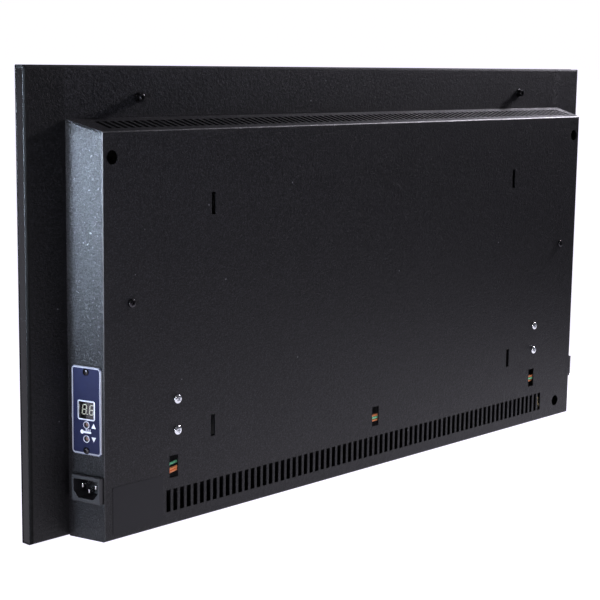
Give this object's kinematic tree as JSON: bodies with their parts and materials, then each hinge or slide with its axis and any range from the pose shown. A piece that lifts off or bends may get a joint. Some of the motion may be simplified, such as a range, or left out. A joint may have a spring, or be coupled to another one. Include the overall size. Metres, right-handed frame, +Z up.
{
  "type": "convector heater",
  "caption": "Flat-panel wall convector heater seen from behind: thin panel tray, tapered vented rear casing, finned element, side control plate, mains inlet and rocker switch.",
  "frame": {"origin": "centre of the bounding box's bottom face, on the surface the heater stands on", "axes": "+Z up, +Y out of the rear (wall) side, -Y out of the front panel, +X towards the end with the control plate and the mains inlet"},
  "size_m": [0.8, 0.051, 0.4],
  "materials": {
    "front_coat": "smooth black powder coat",
    "powder_coat": "fine black powder coat, satin",
    "black_screw": "black oxide",
    "nickel": "bright nickel plate",
    "zinc": "bright zinc plate",
    "galvanised": "galvanised sheet",
    "fin_alu": "mill finish",
    "rod_steel": "heat-tinted sheath",
    "ceramic_white": "unglazed steatite",
    "mineral_wool": "pressed mineral fibre",
    "label_black": "blank satin foil",
    "navy_plate": "navy enamel with a silver border line",
    "silver_trim": "satin silver",
    "lens": "smoked window",
    "black_plastic": "moulded, fine texture",
    "gloss_black": "gloss",
    "segment_white": "unlit pale segments",
    "mark_white": "printed white",
    "button_brown": "brown plastic",
    "board_green": "solder mask",
    "nylon_white": "natural nylon",
    "relay_blue": "moulded",
    "terminal_green": "moulded",
    "brass": "plain",
    "wire_orange": "silicone sleeve",
    "wire_blue": "silicone sleeve",
    "wire_green": "silicone sleeve",
    "sleeve_red": "vinyl sleeve",
    "wire_white": "braided glass sleeve"
  },
  "bodies": {
    "heater": {"front_panel": "front_coat", "panel_tray": "powder_coat", "insulation_board": "mineral_wool", "nut_blocks": "galvanised", "panel_studs": "black_screw", "stud_washers": "black_screw", "rear_casing": "powder_coat", "corner_screws": "zinc", "mid_standoffs": "zinc", "mid_screws": "black_screw", "rating_plate": "label_black", "element_brackets": "galvanised", "bracket_screws": "zinc", "end_bushes": "ceramic_white", "heater_rod": "rod_steel", "heating_fins": "fin_alu", "thermal_cutout": "black_plastic", "cutout_rivets": "zinc", "control_plate": "navy_plate", "plate_screws": "black_screw", "display_frame": "silver_trim", "display_lens": "lens", "led_module": "gloss_black", "display_digits": "segment_white", "printed_marks": "mark_white", "button_rings": "silver_trim", "tact_switches": "black_plastic", "control_board": "board_green", "board_spacers": "nylon_white", "board_nuts": "zinc", "relay": "relay_blue", "power_module": "black_plastic", "terminal_block": "terminal_green", "power_inlet": "black_plastic", "inlet_pins": "nickel", "rocker_housing": "black_plastic", "rocker_terminals": "brass", "earth_stud": "brass", "earth_nuts": "brass", "earth_ring": "zinc", "temperature_sensor": "black_plastic", "sensor_clip": "galvanised", "sensor_lead": "wire_white", "live_wires": "wire_orange", "neutral_lead": "wire_blue", "earth_wire": "wire_green", "element_leads": "wire_white", "wire_clips": "nylon_white", "push_on_terminals": "sleeve_red", "crimp_sleeves": "zinc"},
    "up_key": {"up_button": "button_brown"},
    "down_key": {"down_button": "button_brown"},
    "rocker": {"rocker_switch": "gloss_black"}
  },
  "joints": [
    {"name": "up_press", "type": "slide", "parent": "heater", "child": "up_key", "axis": [-0.9717, -0.2364, 0], "range_m": [0, 0.0005], "stiffness_N_per_m": 800, "springref_m": -0.0005},
    {"name": "down_press", "type": "slide", "parent": "heater", "child": "down_key", "axis": [-0.9717, -0.2364, 0], "range_m": [0, 0.0005], "stiffness_N_per_m": 800, "springref_m": -0.0005},
    {"name": "mains_rocker", "type": "hinge", "parent": "heater", "child": "rocker", "pos_m": [-0.35262, 0.00685, 0.0553], "axis": [0, 0, 1], "range_deg": [-22, 0]}
  ]
}
